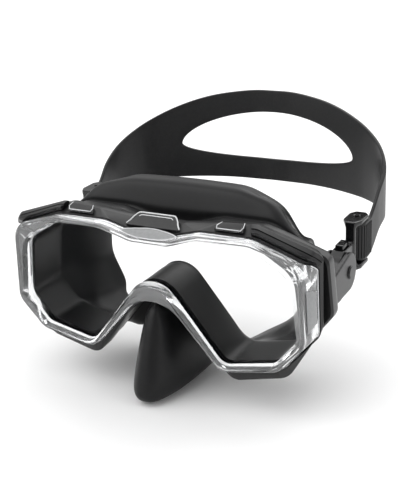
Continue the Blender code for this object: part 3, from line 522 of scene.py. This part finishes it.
def rail_frame(first, last, count):
    """Points on the rail's low and high edges, and the outward direction, at even steps."""
    where = np.linspace(first, last, count)
    index = np.arange(len(rail_low))
    low = np.stack([np.interp(where, index, rail_low[:, k]) for k in range(3)], axis=1)
    high = np.stack([np.interp(where, index, rail_high[:, k]) for k in range(3)], axis=1)
    out = np.cross(np.gradient(low, axis=0), high - low)
    out /= np.linalg.norm(out, axis=1)[:, None]
    return low, high, out * np.sign(-out[:, 1:2])


def rail_moulding(name, first, last, count, profile, side, material):
    """A profile of (share up the slope, lift off it in mm) carried along the rail, with flat ends."""
    low, high, out = rail_frame(first, last, count)
    profile = np.array(profile)
    up, lift = profile[:, 0][None, :, None], profile[:, 1][None, :, None]
    points = low[:, None] + (high - low)[:, None] * up + out[:, None] * lift * MM
    if side == "right":
        points = points * [-1, 1, 1]
    rows, columns = points.shape[:2]
    faces = grid_faces(rows, columns, False, True).tolist()
    faces += [list(range(columns)), list(range((rows - 1) * columns, rows * columns))]
    made = make_piece(name, points.reshape(-1, 3), faces, material, bevel=0.16 * MM, merge=False)
    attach(made, "mask")
    return made


COVER = [
    (0.08, 0.45), (0.06, 1.0), (0.10, 2.1), (0.30, 2.35), (0.34, 1.75), (0.42, 1.75), (0.46, 2.3),
    (0.84, 2.0), (0.93, 1.4), (0.94, 0.45),
]
LATCH = [(0.12, 0.4), (0.14, 1.5), (0.20, 1.75), (0.42, 1.9), (0.86, 1.7), (0.93, 1.2), (0.94, 0.4)]
LATCH_FROM, LATCH_TO = 30.8, 45.4
STEP = CORNER_STEPS + 1
COVER_FROM, COVER_TO = 2 * STEP + 2.5, 4 * STEP - 4.5
brow_points = np.arange(STEP, 3 * STEP)
latch_first, latch_last = np.interp([LATCH_FROM * MM, LATCH_TO * MM], rail_low[brow_points, 0], brow_points)
for side in ("left", "right"):
    cover = rail_moulding(f"{side}_cover", COVER_FROM, COVER_TO, 34, COVER, side, black_nylon)
    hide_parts(f"{side}_corner_cover")
    latch = rail_moulding(f"{side}_latch", latch_first, latch_last, 6, LATCH, side, gloss_black)
    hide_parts(f"{side}_brow_latch")

# The clip round each latch is drawn only as a light grey bead: a painted highlight line.
low, high, out = rail_frame(latch_first, latch_last, 12)
clip_top = low + (high - low) * 0.9 + out * 1.5 * MM
clip_side = low + (high - low) * 0.45 + out * 2.0 * MM
clip_foot = low + (high - low) * 0.16 + out * 1.75 * MM
clip = np.vstack([clip_top[:1], clip_side[:1], clip_foot[1:-1], clip_side[-1:], clip_top[-1:]])
make_beads("latch_clips", [clip], 0.24 * MM, painted_highlight)

# ---------------------------------------------------------------------------------------------
# Forks, buckles, rollers and buttons. Small black mouldings with generously rounded corners that
# turn on short pins. Each button stands on a coil spring of stainless steel wire.
# ---------------------------------------------------------------------------------------------
def relaxed_copy(node, name, material, cell, rounds):
    """A node's mesh rebuilt on a fine grid and smoothed, as one soft continuous skin."""
    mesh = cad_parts[node].data.copy()
    mesh.name = name
    mesh.materials.clear()
    mesh.materials.append(material)
    work = bmesh.new()
    work.from_mesh(mesh)
    bmesh.ops.remove_doubles(work, verts=work.verts, dist=2e-6)
    work.to_mesh(mesh)
    work.free()
    made = bpy.data.objects.new(name, mesh)
    bpy.context.scene.collection.objects.link(made)
    cells = made.modifiers.new("cells", "REMESH")
    cells.mode = "VOXEL"
    cells.voxel_size = cell
    relax = made.modifiers.new("relax", "SMOOTH")
    relax.factor = 0.6
    relax.iterations = rounds
    bpy.context.view_layer.update()
    graph = bpy.context.evaluated_depsgraph_get()
    final = bpy.data.meshes.new_from_object(made.evaluated_get(graph))
    final.name = name
    made.modifiers.clear()
    made.data = final
    final.shade_smooth()
    return made


steel, tree, shader = new_material("stainless_steel")
shader.inputs["Metallic"].default_value = 1.0
noise = add_grain(tree, shader, 900, 0.22, 0.36, 0.1, stretch=(0.1, 1, 1))
add_tint(tree, shader, noise, (0.52, 0.52, 0.53), (0.64, 0.64, 0.65))

CELL = 0.5 * MM
for side in ("left", "right"):
    fork = relaxed_copy(f"{side}_ear", f"{side}_fork", black_nylon, CELL, 14)
    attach(fork, "mask")
    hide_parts(f"{side}_ear")
    buckle = relaxed_copy(f"{side}_buckle_body", f"{side}_buckle", gloss_black, CELL, 11)
    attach(buckle, f"{side}_buckle")
    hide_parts(f"{side}_buckle_body")
    rounded_copy(
        f"{side}_release_button", f"{side}_push_button", gloss_black, 0.25 * MM,
        f"{side}_button",
    )
    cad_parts[f"{side}_roller"].material_slots[0].material = black_nylon
    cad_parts[f"{side}_swivel_pin"].material_slots[0].material = black_nylon
    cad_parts[f"{side}_roller_pin"].material_slots[0].material = gloss_black
    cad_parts[f"{side}_button_spring"].material_slots[0].material = steel

# ---------------------------------------------------------------------------------------------
# Skirt. One liquid-silicone moulding: the sleeve in the frame, the flared hood over the brow and
# cheeks, the feathered face edge and the nose pocket. Silicone has no sharp edge anywhere, so the
# rows are rounded by cubic steps and the joined solid's edges are bevelled.
# ---------------------------------------------------------------------------------------------
silicone, tree, shader = new_material("satin_black_silicone")
shader.inputs["Specular IOR Level"].default_value = 0.26
noise = add_grain(tree, shader, 320, 0.34, 0.40, 0.002)
add_tint(tree, shader, noise, (0.004, 0.004, 0.0045), (0.006, 0.006, 0.0065))


skirt_flare = window + [
    [1, 9.5, 0], [4, 6.0, 0], [-1, 5.5, 0], [0.5, 3.0, 0],
    [0.8, 1.0, 0], [-1.0, -3.4, 0], [-1.0, -4.2, 0], [0, -6.0, 0],
]
skirt_middle = window + [
    [0, 18.2, 0], [6, 13.2, 0], [-2, 9.8, 0], [-5, 1.5, 0],
    [-5.5, 3.5, 0], [-5.5, -3, 0], [-4.5, -8.2, 0], [0, -27, -4],
]
skirt_rear = window + [
    [0, 19.8, 0], [6, 14.2, 0], [-2, 6.4, 0], [-9.5, 0.4, 0],
    [-11, 4.5, 0], [-10, -2.5, 0], [-9, -12, 0], [0, -61.5, 0],
]
nose_levels = np.array([
    [-11.8, 3, 0.5, 34], [-13.3, 6.2, -2, 38], [-16.4, 8.8, -4.2, 40], [-22, 10.6, -6.8, 41],
    [-32, 12.6, -10.6, 41], [-41, 13.9, -13.8, 41], [-47, 14.4, -15.8, 40.5], [-51.5, 13.8, -16.6, 38],
    [-54.6, 11.4, -15.2, 33], [-56.2, 7, -11, 25],
])
SKIRT_WALL, NOSE_WALL = 2.0, 1.8
SLEEVE_BORE, SLEEVE_SIZE = 0.4, 1.8
LOOP_POINTS = 300


def brow_to_arch(top, side, bottom, arch):
    """A depth at each outline point, from its values at the brow, the temples, the cheeks, the nose."""
    return corner_values([
        (top, top), (top, top), (top, top), (top, side),
        (side, side), (side, bottom), (bottom, arch), (arch, arch),
    ])


def even_loop(loop, softness):
    """The loop at even steps of its own length, averaged with its neighbours by a bell curve.

    The weights are exp(-(distance / softness)^2 / 2) along the loop, put on by a Fourier product.
    """
    closed = np.vstack([loop, loop[:1]])
    length = np.concatenate([[0], np.cumsum(np.linalg.norm(np.diff(closed, axis=0), axis=1))])
    where = np.linspace(0, length[-1], LOOP_POINTS, endpoint=False)
    even = np.stack([np.interp(where, length, closed[:, k]) for k in range(3)], axis=1)
    wave = np.fft.fftfreq(LOOP_POINTS, d=length[-1] / LOOP_POINTS)
    damp = np.exp(-2 * (math.pi * wave * softness) ** 2)
    return np.real(np.fft.ifft(np.fft.fft(even, axis=0) * damp[:, None], axis=0))


def rounded_loft(loops, between):
    """Cubic rows between the loops, each loop's slope being half the step between its neighbours."""
    loops = np.stack(loops)
    slope = np.gradient(loops, axis=0)
    slope[0] = loops[1] - loops[0]
    slope[1] = loops[1] - loops[0]
    t = np.linspace(0, 1, between, endpoint=False)[None, :, None, None]
    a, b, m, n = loops[:-1, None], loops[1:, None], slope[:-1, None], slope[1:, None]
    rows = (
        a * (2 * t**3 - 3 * t**2 + 1) + m * (t**3 - 2 * t**2 + t)
        + b * (3 * t**2 - 2 * t**3) + n * (t**3 - t**2)
    )
    return np.vstack([rows.reshape(-1, *loops.shape[1:]), loops[-1:]])


def closed_tube(name, rows):
    """A loft of closed loops with both ends filled by fans, as a solid to join or cut."""
    count, columns = rows.shape[:2]
    points = np.vstack([rows.reshape(-1, 3), rows[0].mean(axis=0), rows[-1].mean(axis=0)])
    here = np.arange(columns)
    after = (here + 1) % columns
    first = np.stack([here, after, np.full(columns, count * columns)], axis=1)
    last = np.stack([after, here, np.full(columns, count * columns + 1)], axis=1) + [
        (count - 1) * columns, (count - 1) * columns, 0,
    ]
    faces = grid_faces(count, columns, False, True).tolist() + first.tolist() + last.tolist()
    mesh = bpy.data.meshes.new(name)
    mesh.from_pydata(points.tolist(), [], faces)
    work = bmesh.new()
    work.from_mesh(mesh)
    bmesh.ops.recalc_face_normals(work, faces=work.faces)
    work.to_mesh(mesh)
    work.free()
    made = bpy.data.objects.new(name, mesh)
    bpy.context.scene.collection.objects.link(made)
    return made


def hood_tube(name, inset):
    """The skirt's loft from sleeve to face: its outside when the inset is 0, or its hollow."""
    if inset:
        loops = [
            loop_at(outline(window, SLEEVE_BORE), 0.5),
            loop_at(outline(window, SLEEVE_BORE), 12.0),
            loop_at(outline(window, SLEEVE_BORE), brow_to_arch(26.0, 24.0, 24.5, 24.5)),
            loop_at(outline(skirt_flare, -inset), brow_to_arch(28.8, 27.8, 27.8, 27.6)),
            loop_at(outline(skirt_middle, -inset), brow_to_arch(33.0, 36.0, 32.8, 32.6)),
            loop_at(outline(skirt_rear, -inset), brow_to_arch(38.2, 48.0, 41.6, 41.2)),
            loop_at(outline(skirt_rear, -inset - 0.6), brow_to_arch(49.4, 60.8, 53.5, 53.0)),
        ]
    else:
        loops = [
            loop_at(outline(window, SLEEVE_SIZE), 3.85),
            loop_at(outline(window, SLEEVE_SIZE), 14.0),
            loop_at(outline(window, SLEEVE_SIZE), 24.4),
            loop_at(outline(skirt_flare), brow_to_arch(26.4, 28.5, 27.5, 27.0)),
            loop_at(outline(skirt_middle), brow_to_arch(31.6, 36.5, 33.5, 33.0)),
            loop_at(outline(skirt_rear), brow_to_arch(38.0, 48.5, 42.0, 41.5)),
            loop_at(outline(skirt_rear, -0.9), brow_to_arch(42.3, 53.7, 46.4, 45.9)),
        ]
    softness = np.array([0.3, 0.3, 0.5, 1.6, 2.6, 3.0, 3.0]) * MM
    return closed_tube(name, rounded_loft([even_loop(loop, s) for loop, s in zip(loops, softness)], 7))


def nose_tube(name, inset):
    """The nose pocket's loft of half ovals: x = half * sin a ** 0.82, y = rear - reach * cos a ** 0.82."""
    levels = nose_levels.copy()
    middle = (levels[0, 0] + levels[-1, 0]) / 2
    levels[:, 0] = middle + (levels[:, 0] - middle) * (1 - 2 * inset / (levels[0, 0] - levels[-1, 0]))
    at = np.arange(len(levels))
    fine = np.linspace(0, len(levels) - 1, 55)
    slope = np.gradient(levels, axis=0)
    i = np.minimum(fine.astype(int), len(levels) - 2)
    t = (fine - at[i])[:, None]
    levels = (
        levels[i] * (2 * t**3 - 3 * t**2 + 1) + slope[i] * (t**3 - 2 * t**2 + t)
        + levels[i + 1] * (3 * t**2 - 2 * t**3) + slope[i + 1] * (t**3 - t**2)
    )
    turn = np.linspace(-math.pi / 2, math.pi / 2, 57)
    z, half, front, back = levels.T[:, :, None]
    x = (half - inset) * np.sign(turn) * np.abs(np.sin(turn)) ** 0.82
    y = back - inset - (back - front - 2 * inset) * np.cos(turn) ** 0.82
    rows = np.stack([x, LENS_FRONT / MM + y, z + 0 * x], axis=2) * MM
    return closed_tube(name, rows)


def solid_skirt():
    """Outside hood joined to the outside nose, less the two hollows, as one mesh."""
    base = hood_tube("silicone_skirt", 0.0)
    for other, operation in (
        (nose_tube("nose_outside", 0.02), "UNION"), (hood_tube("hood_hollow", SKIRT_WALL), "DIFFERENCE"),
        (nose_tube("nose_hollow", NOSE_WALL), "DIFFERENCE"),
    ):
        step = base.modifiers.new(operation.lower(), "BOOLEAN")
        step.object = other
        step.operation = operation
        step.solver = "EXACT"
    bpy.context.view_layer.update()
    final = bpy.data.meshes.new_from_object(base.evaluated_get(bpy.context.evaluated_depsgraph_get()))
    base.modifiers.clear()
    base.data = final
    for name in ("nose_outside", "hood_hollow", "nose_hollow"):
        bpy.data.objects.remove(bpy.data.objects[name])
    final.name = "silicone_skirt"
    final.materials.clear()
    final.materials.append(silicone)
    work = bmesh.new()
    work.from_mesh(final)
    bmesh.ops.remove_doubles(work, verts=work.verts, dist=1e-5)
    work.to_mesh(final)
    work.free()
    final.shade_smooth()
    final.set_sharp_from_angle(angle=math.radians(38))
    return base


skirt = solid_skirt()
add_bevel(skirt, 0.4 * MM, 3)
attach(skirt, "mask")
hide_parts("skirt")

# ---------------------------------------------------------------------------------------------
# Strap. One silicone band, moulded in its head shape with soft edges. Its ribbed ends run round
# the rollers, and a long split at the back of the head parts it into two bands.
# ---------------------------------------------------------------------------------------------
strap_rubber, tree, shader = new_material("satin_strap_silicone")
shader.inputs["Specular IOR Level"].default_value = 0.36
noise = add_grain(tree, shader, 900, 0.32, 0.42, 0.06)
add_tint(tree, shader, noise, (0.004, 0.004, 0.0045), (0.008, 0.008, 0.0085))

BAND, END_HALF = 1.8, 9.25
ROLLER_RADIUS, ROLLER_GAP = 2.4, 0.55
roller_low, roller_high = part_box("left_roller")
roller = (roller_low + roller_high) / 2 / MM
reach = ROLLER_RADIUS + ROLLER_GAP + BAND / 2
end_low, end_high = roller.z - END_HALF, roller.z + END_HALF
rear_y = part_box("strap")[1].y / MM - BAND / 2
half_width = 79.0
lens_y = LENS_FRONT / MM
stations = np.array([
    [roller.x + reach, roller.y, end_low, end_high],
    [roller.x + reach, roller.y + 6.5, end_low + 0.3, end_high + 0.2],
    [roller.x + reach + 0.5, lens_y + 86, end_low + 9.0, end_high + 10.2],
    [half_width - 2.5, lens_y + 98, 8.2, 32.6],
    [half_width - 9, lens_y + 110.6, 8.6, 40.2],
    [half_width - 19, lens_y + 119.8, 8.8, 46.5],
    [half_width - 31, lens_y + 126.5, 8.8, 51.7],
    [half_width - 44, lens_y + 132, 8.6, 55.5],
    [half_width - 57, lens_y + 136, 8.2, 57.6],
    [half_width - 70, rear_y - 0.4, 7.6, 58.7],
    [0.0, rear_y, 7.6, 58.7],
])
SPLIT_HALF, SPLIT_LEVEL, SPLIT_UP, SPLIT_DOWN = 51.0, 28.5, 18.2, 8.6
SPLIT_ACROSS, SPLIT_BOW, SPLIT_BEHIND = 1.02, 1.12, 40.0
LEVEL_FROM, LEVEL_OVER = 10, 60
TAIL_LENGTH, TAIL_LEAN = 11.0, 0.7
SHEET_COLUMNS = 9


def smooth_rows(rows, count):
    """Cubic curve through the rows, with each row's slope from its neighbours, at even steps."""
    at = np.concatenate([[0], np.cumsum(np.linalg.norm(np.diff(rows[:, :2], axis=0), axis=1))])
    slope = np.gradient(rows, at, axis=0)
    where = np.linspace(0, at[-1], count)
    i = np.clip(np.searchsorted(at, where, side="right") - 1, 0, len(at) - 2)
    step = (at[i + 1] - at[i])[:, None]
    t = (where - at[i])[:, None] / step
    return (
        rows[i] * (2 * t**3 - 3 * t**2 + 1) + slope[i] * step * (t**3 - 2 * t**2 + t)
        + rows[i + 1] * (3 * t**2 - 2 * t**3) + slope[i + 1] * step * (t**3 - t**2)
    )


tail = np.linspace(1, 0, 12)[:-1, None]
tail_rows = np.hstack([
    roller.x - reach - TAIL_LEAN * tail, roller.y + TAIL_LENGTH * tail,
    np.full_like(tail, end_low), np.full_like(tail, end_high),
])
wrap = np.linspace(math.pi, 2 * math.pi, 28)[:, None]
wrap_rows = np.hstack([
    roller.x + reach * np.cos(wrap), roller.y + reach * np.sin(wrap),
    np.full_like(wrap, end_low), np.full_like(wrap, end_high),
])
half_rows = np.vstack([tail_rows, wrap_rows[:-1], smooth_rows(stations, 620)])
rows = np.vstack([half_rows, (half_rows * [-1, 1, 1, 1])[-2::-1]])


def strap_sheet():
    """The band's middle surface: height = low + (high - low) * share, parted over the split.

    One sheet runs from the low edge to the split's lower side and one from its upper side to the
    high edge. Outside the split both meet on one line.
    """
    x, y, low, high = rows.T
    inside = (np.abs(x) < SPLIT_HALF) & (y > roller.y + SPLIT_BEHIND)
    across = np.clip(np.abs(x) / SPLIT_HALF, 0, 1) ** (1 / SPLIT_ACROSS)
    bow = np.where(inside, (1 - across**2) ** (SPLIT_BOW / 2), 0.0)
    blend = np.clip((y - roller.y - LEVEL_FROM) / LEVEL_OVER, 0, 1)
    level = np.where(inside, SPLIT_LEVEL, (1 - blend) * (low + high) / 2 + blend * SPLIT_LEVEL)
    share = np.linspace(0, 1, SHEET_COLUMNS)
    ground = level - SPLIT_DOWN * bow
    roof = level + SPLIT_UP * bow
    lower = low[:, None] + (ground - low)[:, None] * share
    upper = roof[:, None] + (high - roof)[:, None] * share
    wide_x, wide_y = (np.repeat(values[:, None], SHEET_COLUMNS, axis=1) for values in (x, y))
    sheets = [np.stack([wide_x, wide_y, heights], axis=2).reshape(-1, 3) * MM for heights in (lower, upper)]
    quads = grid_faces(len(x), SHEET_COLUMNS, False, False)
    return np.vstack(sheets), np.vstack([quads, quads + SHEET_COLUMNS * len(x)])


points, faces = strap_sheet()
strap = make_piece("split_strap", points, faces, strap_rubber, angle=40)
strap_wall = strap.modifiers.new("wall", "SOLIDIFY")
strap_wall.thickness = (BAND - 0.04) * MM
strap_wall.offset = 0.0
add_bevel(strap, 0.5 * MM, 3)
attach(strap, "strap")
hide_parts("strap")

RIB_STEP, RIB_INSET, RIB_RADIUS = 1.7, 1.2, 0.42
straight_ribs = np.arange(1, 5)
rib_turn = np.linspace(math.pi + 0.5, 2 * math.pi, 9)
rib_reach = reach + BAND / 2
rib_x = np.concatenate([
    roller.x + rib_reach * np.cos(rib_turn), np.full(len(straight_ribs), roller.x + rib_reach),
])
rib_y = np.concatenate([
    roller.y + rib_reach * np.sin(rib_turn), roller.y + RIB_STEP * straight_ribs,
])
rib_z = np.linspace(end_low + RIB_INSET, end_high - RIB_INSET, 5)
ribs = [np.stack([0 * rib_z + x, 0 * rib_z + y, rib_z], axis=1) * MM for x, y in zip(rib_x, rib_y)]
make_beads("strap_ribs", ribs, RIB_RADIUS * MM, strap_rubber, body="strap")

# ---------------------------------------------------------------------------------------------
# Floor, light and camera. A pale seamless floor under the object and four large soft lights in a
# white room.
# ---------------------------------------------------------------------------------------------
floor_finish, tree, shader = new_material("pale_floor")
shader.inputs["Base Color"].default_value = (0.93, 0.93, 0.93, 1)
shader.inputs["Roughness"].default_value = 0.9
FLOOR_HALF, FLOOR_GAP = 3.0, 0.001
ground_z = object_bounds()[0][2] - FLOOR_GAP
floor = make_piece(
    "floor", [(FLOOR_HALF * x, FLOOR_HALF * y, ground_z) for x, y in ((-1, -1), (1, -1), (1, 1), (-1, 1))],
    [(0, 1, 2, 3)], floor_finish,
)

world = bpy.data.worlds.new("white_room")
world.use_nodes = True
world.node_tree.nodes["Background"].inputs["Color"].default_value = (1, 1, 1, 1)
world.node_tree.nodes["Background"].inputs["Strength"].default_value = 0.5
bpy.context.scene.world = world
bpy.context.scene.view_settings.view_transform = "Standard"


def add_sun(name, toward, spread, strength):
    """A soft distant light, as wide as a big diffuser, that shines from a direction."""
    lamp = bpy.data.lights.new(name, "SUN")
    lamp.angle = math.radians(spread)
    lamp.energy = strength
    made = bpy.data.objects.new(name, lamp)
    made.rotation_euler = Vector(toward).to_track_quat("Z", "Y").to_euler()
    bpy.context.scene.collection.objects.link(made)


add_sun("overhead", (-0.35, 0.25, 1.0), 90, 1.5)
add_sun("front_left", (-0.75, -0.9, 0.95), 60, 1.1)
add_sun("back_fill", (0.2, 1.0, 0.8), 60, 0.9)
add_sun("right_fill", (1.0, 0.0, 0.5), 45, 0.6)

AZIMUTH, ELEVATION, ROLL = math.radians(28.5), math.radians(20.5), math.radians(-2.74)
DISTANCE, SIDEWAYS, LIFT = 0.4545, 0.02196, 0.01539
FOCAL, SENSOR = 73.6, 36
look = Vector((
    -math.sin(AZIMUTH) * math.cos(ELEVATION), math.cos(AZIMUTH) * math.cos(ELEVATION),
    -math.sin(ELEVATION),
))
right = Vector((math.cos(AZIMUTH), math.sin(AZIMUTH), 0))
up = right.cross(look)
level_right = right * math.cos(ROLL) + up * math.sin(ROLL)
level_up = up * math.cos(ROLL) - right * math.sin(ROLL)
camera = bpy.data.objects.new("camera", bpy.data.cameras.new("camera"))
camera.data.lens = FOCAL
camera.data.sensor_width = SENSOR
camera.data.clip_start = 0.01
place = Vector((0, LENS_FRONT, 0)) - look * DISTANCE + right * SIDEWAYS + up * LIFT
turned = Matrix((level_right, level_up, -look)).transposed().to_4x4()
camera.matrix_world = Matrix.Translation(place) @ turned
bpy.context.scene.collection.objects.link(camera)
bpy.context.scene.camera = camera
